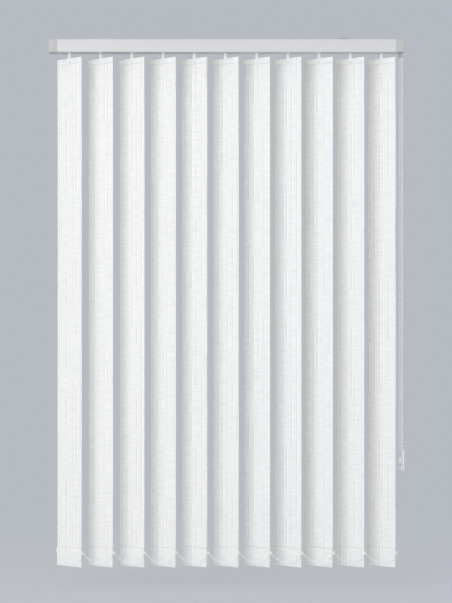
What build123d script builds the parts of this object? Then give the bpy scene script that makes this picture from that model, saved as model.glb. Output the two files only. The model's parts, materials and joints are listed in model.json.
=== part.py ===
from build123d import *

import os
from math import asin, cos, pi, radians, sin

# A vertical blind, in millimetres. X runs along the headrail, Y from front to back and Z up. The origin
# lies on the plane of the brackets' tops, above the middle of the headrail and the louvre axes.

# Row of louvres
louvre_count = 11
louvre_pitch = 80.0
louvre_width = 89.0
louvre_length = 1302.0
louvre_drop = 13.4
rest_tilt = 42.0
fabric = 0.4

# Louvre ends: a welded band at the top and a hollow pocket at the bottom
top_band = 15.5
top_band_thickness = 1.2
band_taper = 2.0
hole_drop = 9.5
hole_width = 7.0
hole_height = 3.2
pocket_height = 50.0
pocket_thickness = 2.6
pocket_taper = 5.0
pocket_nose = 1.4

# Bottom weights
weight_width = 86.0
weight_height = 41.0
weight_thickness = 1.4
weight_rise = 2.0
weight_corner = 2.0
pin_rise = 38.0
pin_radius = 0.7
pin_sides = 6
pin_length = 6.8
pin_reach = 3.1
tab_height = 1.6
tab_end = 1.6
tab_root = 0.7

# Chains that link the weights
ring_radius = 2.0
ring_hole = 1.2
ring_height = 3.0
ring_sides = 6
link_radius = 1.0
link_sides = 4
chain_sag = 23.0

# Headrail
ceiling_gap = 3.0
rail_depth = 44.0
rail_height = 32.5
rail_wall = 1.2
rail_corner = 1.5
rail_slot = 12.0
rail_line_drop = 4.0
rail_line_width = 0.6
rail_line_depth = 0.4
channel_mouth = 14.0
channel_width = 24.0
channel_depth = 3.0

# Mounting brackets
bracket_spacing = 600.0
bracket_length = 26.0
bracket_width = 32.0
bracket_sheet = 1.0
bracket_catch = 3.6
bracket_play = 0.3
bracket_screw_radius = 2.5

# End caps
cap_length = 23.0
cap_wall = 2.0
cap_bevel = 1.2
cap_wall_gap = 7.7
tongue_length = 8.0
tongue_height = 16.0
tongue_thickness = 1.5
bearing_wall = 1.8
bearing_sides = 8
bearing_length = 15.0
nozzle_length = 11.0
nozzle_wall = 0.7
nozzle_sides = 12

# Tilt drive
rod_drop = 16.0
rod_offset = 8.5
rod_radius = 2.2
rod_clearance = 0.4
rod_end_gap = 0.5
flute_count = 3
flute_width = 1.2
flute_depth = 0.6
sprocket_pockets = 6
pocket_sides = 6
sprocket_width = 6.0
sprocket_rim = 1.0
sprocket_play = 0.1

# Carriers
carrier_length = 15.0
carrier_base = 2.5
carrier_cheek = 2.0
carrier_play = 0.2
bearing_width = 12.0
cheek_margin = 1.4
barrel_wall = 0.6
barrel_sides = 8
stack_pitch = 18.0
strip_thickness = 0.4
strip_height = 6.0
strip_gap = 0.3
strip_overlap = 4.0
strip_root = 3.0
strip_standoff = 2.0

# Hooks
wheel_teeth = 8
wheel_tip_radius = 4.9
wheel_root_radius = 3.8
wheel_height = 7.6
stem_radius = 3.0
stem_sides = 8
collar_radius = 4.0
collar_height = 2.0
collar_gap = 0.5
clip_width = 7.0
clip_leg = 1.2
clip_play = 0.15
clip_tail = 4.6
peg_size = 2.4
peg_play = 0.3

# Control chain and its tidy
bead_pitch = 9.0
bead_radius = 2.0
chain_sides = 8
bead_clearance = 0.3
strand_spread = 4.1
strand_inset = 7.65
swing_gap = 5.65
loop_drop = 1110.0
tidy_height = 57.0
tidy_width = 13.0
tidy_corner = 4.0
tidy_plate = 2.4
tidy_keeper = 0.9
tidy_bridge_height = 16.0
tidy_bridge_width = 8.0
tidy_screw_radius = 2.1
tidy_screw_drop = 9.0

cut_over = 1.0

# Shares of a tooth's pitch at which its flanks meet the root and tip circles
tooth_root_share = 0.34
tooth_tip_share = 0.14

# The hook clip's outline, from the collar down: shares of its width and of its height
clip_width_shares = (0.55, 1.0, 1.0, 0.5, 0.5)
clip_height_shares = (0.0, 0.28, 0.45, 0.62, 1.0)

# A linking chain between two rings: shares of its run and of its sag
link_run_shares = (0.0, 0.1, 0.32, 0.68, 0.9, 1.0)
link_sag_shares = (0.0, 0.42, 1.0, 1.0, 0.42, 0.0)

# Levels
rail_top = -ceiling_gap
rail_bottom = rail_top - rail_height
rail_middle = (rail_top + rail_bottom) / 2
rail_floor = rail_bottom + rail_wall
rod_level = rail_top - rod_drop
louvre_top = rail_bottom - louvre_drop
louvre_bottom = louvre_top - louvre_length
hole_level = louvre_top - hole_drop
pin_level = louvre_bottom + pin_rise

# Places along the headrail
left_room = louvre_width / 2 + cap_wall_gap - cap_length
right_room = louvre_width / 2 + swing_gap + strand_inset - cap_length
rail_length = (louvre_count - 1) * louvre_pitch + left_room + right_room
rail_end = rail_length / 2
cap_end = rail_end + cap_length
first_axis = left_room - rail_end
axis_places = [first_axis + louvre_pitch * n for n in range(louvre_count)]
chain_place = cap_end - strand_inset

# Directions of a louvre at rest: along its width, and through its thickness towards the back
along = Vector(cos(radians(rest_tilt)), -sin(radians(rest_tilt)), 0)
through = Vector(sin(radians(rest_tilt)), cos(radians(rest_tilt)), 0)

sprocket_radius = bead_pitch * sprocket_pockets / (2 * pi)
rod_bore = rod_radius + rod_clearance
pin_place = louvre_width / 2 + pin_reach

os.makedirs("parts", exist_ok=True)


# Planes on a louvre's axis: level, and upright through the louvre's middle with Y up
level = Plane(origin=(0, 0, 0), x_dir=along, z_dir=(0, 0, 1))
upright = Plane(origin=(0, 0, 0), x_dir=along, z_dir=-through)


def save(part, name):
    part.label = name
    export_step(part, f"parts/{name}.step")


def save_row(form, name, places, first=1):
    """Writes a copy of a piece for each place along the headrail."""
    for number, place in enumerate(places, first):
        with BuildPart() as copy:
            with Locations((place, 0, 0)):
                add(form)
        save(copy.part, f"{name}_{number:02d}")


# Headrail: a closed top with a recessed channel for the brackets, and a slot below for the hooks
with BuildPart() as headrail:
    with BuildSketch(Plane.YZ.offset(-rail_end)):
        with Locations((0, rail_middle)):
            RectangleRounded(rail_depth, rail_height, rail_corner)
            Rectangle(rail_depth - 2 * rail_wall, rail_height - 2 * rail_wall, mode=Mode.SUBTRACT)
        with Locations((0, rail_top)):
            Rectangle(
                channel_width + 2 * rail_wall,
                channel_depth + 2 * rail_wall,
                align=(Align.CENTER, Align.MAX),
            )
            Rectangle(
                channel_mouth, rail_wall, align=(Align.CENTER, Align.MAX), mode=Mode.SUBTRACT
            )
        with Locations((0, rail_top - rail_wall)):
            Rectangle(
                channel_width, channel_depth, align=(Align.CENTER, Align.MAX), mode=Mode.SUBTRACT
            )
        with Locations((0, rail_bottom)):
            Rectangle(
                rail_slot, rail_wall, align=(Align.CENTER, Align.MIN), mode=Mode.SUBTRACT
            )
        with Locations(
            (-rail_depth / 2, rail_top - rail_line_drop), (rail_depth / 2, rail_top - rail_line_drop)
        ):
            Rectangle(2 * rail_line_depth, rail_line_width, mode=Mode.SUBTRACT)
    extrude(amount=rail_length)
save(headrail.part, "headrail")

# Mounting brackets: a bent plate whose edges press on the headrail and whose catches grip its channel
leg_place = channel_mouth / 2 - bracket_play - bracket_sheet / 2
catch_top = rail_top - rail_wall
for side, name in ((-1, "mounting_bracket_left"), (1, "mounting_bracket_right")):
    middle = side * bracket_spacing / 2
    with BuildPart() as bracket:
        with BuildSketch(Plane.YZ.offset(middle - bracket_length / 2)):
            Rectangle(bracket_width, bracket_sheet, align=(Align.CENTER, Align.MAX))
            edge_place = (bracket_width - bracket_sheet) / 2
            with Locations((-edge_place, 0), (edge_place, 0)):
                Rectangle(bracket_sheet, ceiling_gap, align=(Align.CENTER, Align.MAX))
            with Locations((-leg_place, 0), (leg_place, 0)):
                Rectangle(
                    bracket_sheet, bracket_sheet - catch_top, align=(Align.CENTER, Align.MAX)
                )
            with Locations((-leg_place, catch_top)):
                Rectangle(bracket_catch, bracket_sheet, align=(Align.MAX, Align.MAX))
            with Locations((leg_place, catch_top)):
                Rectangle(bracket_catch, bracket_sheet, align=(Align.MIN, Align.MAX))
        extrude(amount=bracket_length)
        with Locations((middle, 0, 0)):
            Hole(bracket_screw_radius, depth=bracket_sheet)
    save(bracket.part, name)

# Left end cap: a hollow moulding with two tongues inside the headrail and the rod's blind bearing
tongue_place = rail_depth / 2 - rail_wall - carrier_play - tongue_thickness / 2
with BuildPart() as left_cap:
    with BuildSketch(Plane.YZ.offset(-cap_end)):
        with Locations((0, rail_middle)):
            RectangleRounded(rail_depth, rail_height, rail_corner)
    extrude(amount=cap_length)
    chamfer(left_cap.faces().sort_by(Axis.X)[0].edges(), length=cap_bevel)
    with BuildSketch(Plane.YZ.offset(cap_wall - cap_end)):
        with Locations((0, rail_middle)):
            Rectangle(rail_depth - 2 * cap_wall, rail_height - 2 * cap_wall)
    extrude(amount=cap_length, mode=Mode.SUBTRACT)
    with BuildSketch(Plane.YZ.offset(-rail_end - tongue_length)):
        with Locations((-tongue_place, rail_middle), (tongue_place, rail_middle)):
            Rectangle(tongue_thickness, tongue_height)
    extrude(amount=2 * tongue_length)
    with BuildSketch(Plane.YZ.offset(cap_wall - cap_end)):
        with Locations((rod_offset, rod_level)):
            RegularPolygon(rod_bore + bearing_wall, bearing_sides, major_radius=False)
            Circle(rod_bore, mode=Mode.SUBTRACT)
    extrude(amount=bearing_length)
save(left_cap.part, "left_end_cap")

# Control end cap: the same moulding around the sprocket, with a guide nozzle for each chain strand
strand_places = (
    (chain_place + strand_spread / 2, rod_offset - sprocket_radius),
    (chain_place - strand_spread / 2, rod_offset + sprocket_radius),
)
nozzle_bore = bead_radius + bead_clearance
sprocket_start = chain_place - sprocket_width / 2
sprocket_stop = chain_place + sprocket_width / 2
with BuildPart() as control_cap:
    with BuildSketch(Plane.YZ.offset(rail_end)):
        with Locations((0, rail_middle)):
            RectangleRounded(rail_depth, rail_height, rail_corner)
    extrude(amount=cap_length)
    chamfer(control_cap.faces().sort_by(Axis.X)[-1].edges(), length=cap_bevel)
    with BuildSketch(Plane.YZ.offset(rail_end)):
        with Locations((0, rail_middle)):
            Rectangle(rail_depth - 2 * cap_wall, rail_height - 2 * cap_wall)
    extrude(amount=cap_length - cap_wall, mode=Mode.SUBTRACT)
    with BuildSketch(Plane.YZ.offset(rail_end - tongue_length)):
        with Locations((-tongue_place, rail_middle), (tongue_place, rail_middle)):
            Rectangle(tongue_thickness, tongue_height)
    extrude(amount=2 * tongue_length)
    with BuildSketch(Plane.YZ.offset(sprocket_stop + rod_clearance)):
        with Locations((rod_offset, rod_level)):
            RegularPolygon(rod_bore + bearing_wall, bearing_sides, major_radius=False)
            Circle(rod_bore, mode=Mode.SUBTRACT)
    extrude(amount=cap_end - cap_wall - sprocket_stop - rod_clearance)
    with BuildSketch(Plane.XY.offset(rail_bottom - nozzle_length)):
        with Locations(*strand_places):
            RegularPolygon(nozzle_bore + nozzle_wall, nozzle_sides, major_radius=False)
    extrude(amount=nozzle_length + cap_wall)
    with BuildSketch(Plane.XY.offset(rail_bottom - nozzle_length)):
        with Locations(*strand_places):
            RegularPolygon(nozzle_bore, nozzle_sides, major_radius=False)
    extrude(amount=nozzle_length + cap_wall, mode=Mode.SUBTRACT)
save(control_cap.part, "control_end_cap")

# Tilt rod: round with three flutes that drive the worm in every carrier
rod_start = cap_wall + rod_end_gap - cap_end
rod_stop = cap_end - cap_wall - rod_end_gap
with BuildPart() as tilt_rod:
    with BuildSketch(Plane.YZ.offset(rod_start)):
        with Locations((rod_offset, rod_level)):
            Circle(rod_radius)
            with PolarLocations(rod_radius, flute_count):
                Rectangle(2 * flute_depth, flute_width, mode=Mode.SUBTRACT)
    extrude(amount=rod_stop - rod_start)
save(tilt_rod.part, "tilt_rod")

# Drive sprocket: one scallop for each bead, on the end of the rod
with BuildPart() as sprocket:
    with BuildSketch(Plane.YZ.offset(sprocket_start)):
        with Locations((rod_offset, rod_level)):
            Circle(sprocket_radius + sprocket_rim)
            with PolarLocations(sprocket_radius, sprocket_pockets):
                RegularPolygon(nozzle_bore, pocket_sides, major_radius=False, mode=Mode.SUBTRACT)
            Circle(rod_radius + sprocket_play, mode=Mode.SUBTRACT)
    extrude(amount=sprocket_width)
save(sprocket.part, "drive_sprocket")

# Carriers: a runner plate, a bearing block for the hook's stem, and two cheeks around the rod
carrier_width = rail_depth - 2 * rail_wall - 2 * carrier_play
carrier_bottom = rail_floor + carrier_play
base_top = carrier_bottom + carrier_base
wheel_bottom = rod_level - wheel_height / 2
block_top = wheel_bottom - carrier_play
barrel_radius = rod_bore + barrel_wall
cheek_top = rod_level + barrel_radius + cheek_margin
cheek_back = rod_offset + barrel_radius + cheek_margin
strip_slant = asin((strip_thickness + strip_gap) / stack_pitch)
strip_place = bearing_width / 2 + strip_standoff
strip_length = louvre_pitch + strip_overlap - carrier_length / 2 + strip_root
strip_bottom = (base_top + block_top) / 2 - strip_height / 2
carrier_start = -carrier_length / 2
root_place = carrier_length / 2 - strip_root
with BuildPart() as carrier:
    with BuildSketch(Plane.YZ.offset(carrier_start)):
        with Locations((0, carrier_bottom)):
            Rectangle(carrier_width, carrier_base, align=(Align.CENTER, Align.MIN))
            Rectangle(bearing_width, block_top - carrier_bottom, align=(Align.CENTER, Align.MIN))
    extrude(amount=carrier_length)
    for cheek_start in (carrier_start, -carrier_start - carrier_cheek):
        with BuildSketch(Plane.YZ.offset(cheek_start)):
            with Locations((-bearing_width / 2, base_top)):
                Rectangle(
                    cheek_back + bearing_width / 2,
                    cheek_top - base_top,
                    align=(Align.MIN, Align.MIN),
                )
        extrude(amount=carrier_cheek)
    with BuildSketch(Plane.YZ.offset(carrier_start)):
        with Locations((rod_offset, rod_level)):
            RegularPolygon(barrel_radius, barrel_sides, major_radius=False)
    extrude(amount=carrier_length)
    with BuildSketch(Plane.YZ.offset(carrier_start)):
        with Locations((rod_offset, rod_level)):
            RegularPolygon(rod_bore, barrel_sides, major_radius=False)
    extrude(amount=carrier_length, mode=Mode.SUBTRACT)
    with BuildSketch(Plane.XY.offset(carrier_bottom)):
        RegularPolygon(stem_radius + carrier_play, stem_sides, major_radius=False)
    extrude(amount=block_top - carrier_bottom, mode=Mode.SUBTRACT)
save_row(carrier.part, "carrier", axis_places[-1:], louvre_count)

# All carriers but the last have a spacer strip that reaches the next carrier and slides past the others
slant = Plane(
    origin=(root_place, -strip_place, strip_bottom),
    x_dir=(cos(strip_slant), -sin(strip_slant), 0),
    z_dir=(0, 0, 1),
)
with BuildPart() as spaced_carrier:
    add(carrier.part)
    with BuildSketch(Plane.XY.offset(strip_bottom)):
        with Locations((root_place, -strip_place)):
            Rectangle(strip_root, strip_standoff, align=(Align.MIN, Align.MIN))
    extrude(amount=strip_height)
    with BuildSketch(slant):
        Rectangle(strip_length, strip_thickness, align=(Align.MIN, Align.CENTER))
    extrude(amount=strip_height)
save_row(spaced_carrier.part, "carrier", axis_places[:-1])

# Hooks: worm wheel, stem, collar and clip in one moulding, turned with the louvre
collar_top = rail_bottom - collar_gap
clip_top = collar_top - collar_height
clip_bottom = hole_level - clip_tail
clip_gap = top_band_thickness + 2 * clip_play
clip_thickness = clip_gap + 2 * clip_leg
clip_side = [
    (clip_width / 2 * wide, clip_top + (clip_bottom - clip_top) * down)
    for wide, down in zip(clip_width_shares, clip_height_shares)
]
clip_outline = clip_side + [(-across, height) for across, height in reversed(clip_side)]
tooth_angle = 2 * pi / wheel_teeth
wheel_outline = [
    (radius * cos(tooth_angle * (tooth + share)), radius * sin(tooth_angle * (tooth + share)))
    for tooth in range(wheel_teeth)
    for radius, share in (
        (wheel_root_radius, -tooth_root_share),
        (wheel_tip_radius, -tooth_tip_share),
        (wheel_tip_radius, tooth_tip_share),
        (wheel_root_radius, tooth_root_share),
    )
]
with BuildPart() as hook:
    with BuildSketch(level.offset(wheel_bottom)):
        Polygon(*wheel_outline, align=None)
    extrude(amount=wheel_height)
    with BuildSketch(level.offset(collar_top)):
        RegularPolygon(stem_radius, stem_sides)
    extrude(amount=wheel_bottom - collar_top)
    with BuildSketch(level.offset(clip_top)):
        RegularPolygon(collar_radius, stem_sides)
    extrude(amount=collar_height)
    with BuildSketch(upright):
        Polygon(*clip_outline, align=None)
    extrude(amount=clip_thickness / 2, both=True)
    with BuildSketch(upright):
        with Locations((0, louvre_top + peg_play)):
            Rectangle(
                clip_width + cut_over,
                louvre_top + peg_play - clip_bottom + cut_over,
                align=(Align.CENTER, Align.MAX),
            )
    extrude(amount=clip_gap / 2, both=True, mode=Mode.SUBTRACT)
    with BuildSketch(upright):
        with Locations((0, hole_level + hole_height / 2 - peg_play - peg_size / 2)):
            Rectangle(peg_size, peg_size)
    extrude(amount=clip_gap / 2, both=True)
save_row(hook.part, "hook", axis_places)

# Louvres: one section through band, cloth and pocket, drawn out over the width
louvre_side = [
    (top_band_thickness / 2, louvre_top),
    (top_band_thickness / 2, louvre_top - top_band + band_taper),
    (fabric / 2, louvre_top - top_band),
    (fabric / 2, louvre_bottom + pocket_height),
    (pocket_thickness / 2, louvre_bottom + pocket_height - pocket_taper),
    (pocket_thickness / 2, louvre_bottom + pocket_nose),
    (pocket_thickness / 2 - pocket_nose / 2, louvre_bottom),
]
louvre_outline = louvre_side + [(-across, height) for across, height in reversed(louvre_side)]
pocket_inside = pocket_thickness / 2 - fabric
pocket_side = [
    (pocket_inside, louvre_bottom + pocket_height - pocket_taper),
    (pocket_inside, louvre_bottom + pocket_nose),
]
pocket_outline = pocket_side + [(-across, height) for across, height in reversed(pocket_side)]
with BuildPart() as louvre:
    with BuildSketch(Plane(origin=along * (-louvre_width / 2), x_dir=through, z_dir=along)):
        Polygon(*louvre_outline, align=None)
        Polygon(*pocket_outline, align=None, mode=Mode.SUBTRACT)
    extrude(amount=louvre_width)
    with BuildSketch(upright):
        with Locations((0, hole_level)):
            Rectangle(hole_width, hole_height)
    extrude(amount=top_band_thickness, both=True, mode=Mode.SUBTRACT)
save_row(louvre.part, "louvre", axis_places)

# Bottom weights: a plate in the pocket, with an upright pin between two tabs at each end
weight_bottom = louvre_bottom + weight_rise
tab_place = pin_place + tab_end
window_start = pin_place - ring_radius - tab_root
with BuildPart() as weight:
    with BuildSketch(upright) as plate:
        with Locations((0, weight_bottom + weight_height / 2)):
            Rectangle(weight_width, weight_height)
        chamfer(plate.vertices(), length=weight_corner)
        with Locations((0, pin_level)):
            Rectangle(2 * tab_place, pin_length + 2 * tab_height)
        for side in (-1, 1):
            with Locations((side * (window_start + tab_place) / 2, pin_level)):
                Rectangle(tab_place - window_start, pin_length, mode=Mode.SUBTRACT)
    extrude(amount=weight_thickness / 2, both=True)
    with BuildSketch(level.offset(pin_level - pin_length / 2)):
        with Locations((-pin_place, 0), (pin_place, 0)):
            RegularPolygon(pin_radius, pin_sides)
    extrude(amount=pin_length)
save_row(weight.part, "bottom_weight", axis_places)

# Linking chains: a ring on every weight's pin, and a sagging length from each ring to the next
link_run = louvre_pitch - 2 * ring_radius
ring_turn = 180 / ring_sides
with BuildPart() as link:
    with BuildLine() as span:
        Polyline(
            *[
                (ring_radius + link_run * run, 0, pin_level - chain_sag * sag)
                for run, sag in zip(link_run_shares, link_sag_shares)
            ]
        )
    with BuildSketch(Plane(origin=span.line @ 0, z_dir=span.line % 0)):
        RegularPolygon(link_radius, link_sides)
    sweep(transition=Transition.RIGHT)
for side, name in ((1, "front_bottom_chain"), (-1, "rear_bottom_chain")):
    pins = [Vector(place, 0, 0) + along * (side * pin_place) for place in axis_places]
    with BuildPart() as bottom_chain:
        with BuildSketch(Plane.XY.offset(pin_level - ring_height / 2)):
            with Locations(*[(pin.X, pin.Y) for pin in pins]):
                RegularPolygon(ring_radius, ring_sides, major_radius=False, rotation=ring_turn)
                RegularPolygon(
                    ring_hole,
                    ring_sides,
                    major_radius=False,
                    rotation=ring_turn,
                    mode=Mode.SUBTRACT,
                )
        extrude(amount=ring_height)
        with Locations(*[(pin.X, pin.Y, 0) for pin in pins[:-1]]):
            add(link.part)
    save(bottom_chain.part, name)

# Control chain: two straight strands and the turn around the tidy's hub
(front_x, front_y), (rear_x, rear_y) = strand_places
turn_radius = Vector(front_x - rear_x, front_y - rear_y, 0).length / 2
turn_level = bead_radius + turn_radius - loop_drop
with BuildPart() as control_chain:
    with BuildLine() as route:
        Line((front_x, front_y, rail_bottom), (front_x, front_y, turn_level))
        ThreePointArc(
            (front_x, front_y, turn_level),
            (chain_place, rod_offset, turn_level - turn_radius),
            (rear_x, rear_y, turn_level),
        )
        Line((rear_x, rear_y, turn_level), (rear_x, rear_y, rail_bottom))
    with BuildSketch(Plane(origin=route.line @ 0, z_dir=route.line % 0)):
        RegularPolygon(bead_radius, chain_sides)
    sweep()
save(control_chain.part, "control_chain")

# Chain tidy: a screw plate, the hub that the chain turns under, a bridge and a keeper
hub_radius = sprocket_radius - bead_radius - rod_clearance
guard_radius = turn_radius + bead_radius
plate_start = cap_end - tidy_plate
keeper_stop = chain_place - strand_spread / 2 - bead_radius - bead_clearance
tidy_top = tidy_height - loop_drop
bridge_level = turn_level + guard_radius + tidy_bridge_height / 2
with BuildPart() as chain_tidy:
    with BuildSketch(Plane.YZ.offset(plate_start)):
        with Locations((rod_offset, turn_level)):
            Circle(guard_radius)
        with Locations((rod_offset, (tidy_top + turn_level) / 2)):
            RectangleRounded(tidy_width, tidy_top - turn_level, tidy_corner)
    extrude(amount=tidy_plate)
    with BuildSketch(Plane.YZ.offset(keeper_stop - tidy_keeper)):
        with Locations((rod_offset, turn_level)):
            Circle(hub_radius)
        with Locations((rod_offset, bridge_level)):
            RectangleRounded(tidy_bridge_width, tidy_bridge_height, tidy_bridge_width / 4)
    extrude(amount=plate_start - keeper_stop + tidy_keeper)
    with BuildSketch(Plane.YZ.offset(keeper_stop - tidy_keeper)):
        with Locations((rod_offset, turn_level)):
            Circle(guard_radius)
        with Locations((rod_offset, (turn_level + bridge_level + tidy_bridge_height / 2) / 2)):
            RectangleRounded(
                tidy_width, bridge_level + tidy_bridge_height / 2 - turn_level, tidy_corner
            )
    extrude(amount=tidy_keeper)
    with Locations(Plane(origin=(cap_end, rod_offset, tidy_top - tidy_screw_drop), z_dir=(1, 0, 0))):
        Hole(tidy_screw_radius, depth=tidy_plate)
save(chain_tidy.part, "chain_tidy")

route_length = sum(edge.length for edge in route.edges())
span_length = sum(edge.length for edge in span.edges())
print("control chain: turn radius", round(turn_radius, 2), "length", round(route_length, 1))
print("linking chain: length of a span", round(span_length, 1))
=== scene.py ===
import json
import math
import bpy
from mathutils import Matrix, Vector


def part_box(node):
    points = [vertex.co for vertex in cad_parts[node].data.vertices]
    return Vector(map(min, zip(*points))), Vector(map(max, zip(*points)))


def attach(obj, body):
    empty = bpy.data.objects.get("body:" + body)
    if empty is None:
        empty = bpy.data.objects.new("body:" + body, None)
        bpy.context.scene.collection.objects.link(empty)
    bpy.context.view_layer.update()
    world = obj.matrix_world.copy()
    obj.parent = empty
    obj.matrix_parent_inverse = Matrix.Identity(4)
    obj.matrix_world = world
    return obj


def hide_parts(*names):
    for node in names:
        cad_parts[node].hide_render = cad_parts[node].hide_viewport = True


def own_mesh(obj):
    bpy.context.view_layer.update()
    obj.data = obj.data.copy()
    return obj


bl_info = {
    "name": "Vertical blind",
    "version": (1, 0, 0),
    "blender": (4, 5, 0),
    "location": "View3D > Sidebar > Vertical blind",
    "description": "Cloth louvres, hooks, bead chains and finishes on a vertical blind's frame",
    "category": "Object",
}

from functools import partial

import bmesh
import bpy
from bpy.props import FloatProperty, FloatVectorProperty, IntProperty, PointerProperty
from mathutils import Matrix, Vector

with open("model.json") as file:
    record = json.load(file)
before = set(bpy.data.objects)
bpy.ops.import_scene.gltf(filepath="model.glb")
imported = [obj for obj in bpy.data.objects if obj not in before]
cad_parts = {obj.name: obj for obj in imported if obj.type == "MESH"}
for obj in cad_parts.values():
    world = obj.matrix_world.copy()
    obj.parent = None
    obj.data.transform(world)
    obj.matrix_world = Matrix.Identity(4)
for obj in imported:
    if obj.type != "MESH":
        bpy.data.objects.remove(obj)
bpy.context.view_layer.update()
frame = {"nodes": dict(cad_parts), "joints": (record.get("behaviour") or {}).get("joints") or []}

# Lengths are metres in the part's own frame: X along the headrail, Y from front to back, Z up.
MM = 0.001
MERGE = 0.01 * MM  # Corners nearer than this are one
NODES = frame["nodes"]
JOINTS = {joint["name"]: joint for joint in frame["joints"]}
NUMBERS = sorted(name.split("_")[1] for name in JOINTS if name.endswith("_tilt"))
AXES = {number: JOINTS[f"vane_{number}_tilt"]["pos_m"][0] for number in NUMBERS}
PITCH = AXES[NUMBERS[1]] - AXES[NUMBERS[0]]
SWIVELS = {side: JOINTS[f"{side}_chain_swivel"]["pos_m"] for side in ("front", "rear")}
RAIL_BOTTOM, RAIL_TOP = (corner.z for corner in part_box("headrail"))
LOUVRE_BOTTOM, LOUVRE_TOP = (corner.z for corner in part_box(f"louvre_{NUMBERS[0]}"))
HOOK_BOTTOM, HOOK_TOP = (corner.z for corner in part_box(f"hook_{NUMBERS[0]}"))

UV_NAME = "UVMap"
BLIND = "blind_"
CLOTH = "Slub cloth"
HOOK = "Milky moulding"
CAP = "White moulding"
BEAD = "Glossy beads"

# Each lamp's name, place, size and power in watts
LAMPS = (
    ("Key lamp", (-1.95, -3.2, -0.2), 3.2, 86),
    ("Fill lamp", (1.6, -3.4, 0.2), 2.4, 12),
    ("Side lamp", (2.4, -1.3, -0.6), 1.6, 14),
    ("Top lamp", (0.0, -0.4, 2.6), 2.0, 14),
    ("Back lamp", (0.9, 3.4, 0.2), 2.4, 16),
)


def length(label, note, default):
    """A length that a user would change, in metres."""
    return FloatProperty(name=label, description=note, default=default, precision=5, unit="LENGTH")


def colour(label, note, default):
    """A base colour that a user would change, linear."""
    return FloatVectorProperty(
        name=label, description=note, default=default, subtype="COLOR", min=0.0, max=1.0
    )


class LouvreSettings(bpy.types.PropertyGroup):
    """Sizes of one cloth louvre."""

    width: length("Width", "Width of the cut cloth", 89 * MM)
    tilt: FloatProperty(
        name="Tilt",
        description="Turn of the louvres from the headrail's line at rest",
        default=math.radians(42),
        subtype="ANGLE",
    )
    cloth: length("Cloth", "Thickness of the cloth", 0.4 * MM)
    band: length("Top band", "Height of the folded band at the top", 15.5 * MM)
    band_depth: length("Band depth", "Thickness of the folded band", 1.2 * MM)
    hole_drop: length("Hole drop", "From the top edge to the middle of the hook's hole", 9.5 * MM)
    hole_width: length("Hole width", "Width of the hook's hole", 7.0 * MM)
    hole_height: length("Hole height", "Height of the hook's hole", 3.2 * MM)
    pocket: length("Pocket", "Height of the bottom pocket", 50.0 * MM)
    pocket_depth: length("Pocket depth", "Thickness of the bottom pocket", 2.6 * MM)
    wave: length("Wave", "How far the hanging cloth stands off a flat plane", 0.5 * MM)
    curl: length("Curl", "How far the long edges curl", 0.5 * MM)
    fade: length("Fade", "Length over which wave and curl end at the band and the pocket", 220 * MM)
    weld_pitch: length("Weld pitch", "Spacing of the weld's marks", 3.1 * MM)
    columns: IntProperty(name="Columns", description="Faces across the width", default=26, min=2)
    rows: IntProperty(name="Rows", description="Faces along the hanging cloth", default=56, min=2)
    seed: IntProperty(name="Seed", description="First seed of the louvres' waves", default=7)


class HookSettings(bpy.types.PropertyGroup):
    """Sizes of the hook that carries a louvre."""

    wheel_height: length("Wheel height", "Height of the worm wheel", 7.6 * MM)
    wheel_tip: length("Wheel tip radius", "Outer radius of the worm wheel", 4.9 * MM)
    wheel_root: length("Wheel root radius", "Radius between the wheel's teeth", 3.8 * MM)
    teeth: IntProperty(name="Teeth", description="Teeth of the worm wheel", default=8, min=3)
    stem: length("Stem radius", "Radius of the stem in the carrier", 3.0 * MM)
    collar: length("Collar radius", "Radius of the collar under the headrail", 4.0 * MM)
    collar_height: length("Collar height", "Height of the collar", 2.0 * MM)
    collar_gap: length("Collar gap", "Space between headrail and collar", 0.5 * MM)
    clip_width: length("Clip width", "Widest place of the clip", 7.0 * MM)
    clip_leg: length("Clip leg", "Thickness of each leg", 1.2 * MM)
    clip_gap: length("Clip gap", "Space between the legs", 1.5 * MM)
    peg: length("Peg", "Width of the peg through the louvre's hole", 2.4 * MM)
    round: length("Rounding", "Size of the rounded edges", 0.25 * MM)


class MouldingSettings(bpy.types.PropertyGroup):
    """Rounded edges of the moulded pieces."""

    cap_round: length("Cap rounding", "Size of the end caps' rounded edges", 0.5 * MM)
    tidy_round: length("Tidy rounding", "Size of the chain tidy's rounded edges", 0.6 * MM)


class ChainSettings(bpy.types.PropertyGroup):
    """Sizes of the bead chains."""

    bead_pitch: length("Bead pitch", "Spacing of the control chain's beads", 6.0 * MM)
    bead: length("Bead radius", "Radius of the control chain's beads", 2.0 * MM)
    thread: length("Thread radius", "Radius of the control chain's thread", 0.55 * MM)
    link_pitch: length("Small bead pitch", "Spacing of the linking chains' beads", 5.5 * MM)
    link: length("Small bead radius", "Radius of the linking chains' beads", 1.2 * MM)
    link_thread: length("Small thread radius", "Radius of the linking chains' thread", 0.4 * MM)
    ring: length("Ring radius", "Outer radius of the ring on a weight's pin", 2.0 * MM)
    ring_hole: length("Ring hole", "Inner radius of the ring", 1.2 * MM)
    ring_height: length("Ring height", "Height of the ring", 3.0 * MM)
    outset: length("Outset", "From a weight's pin out to the chain that passes it", 2.2 * MM)
    sag: length("Sag", "How far a linking chain hangs below its pins", 23.0 * MM)


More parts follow.
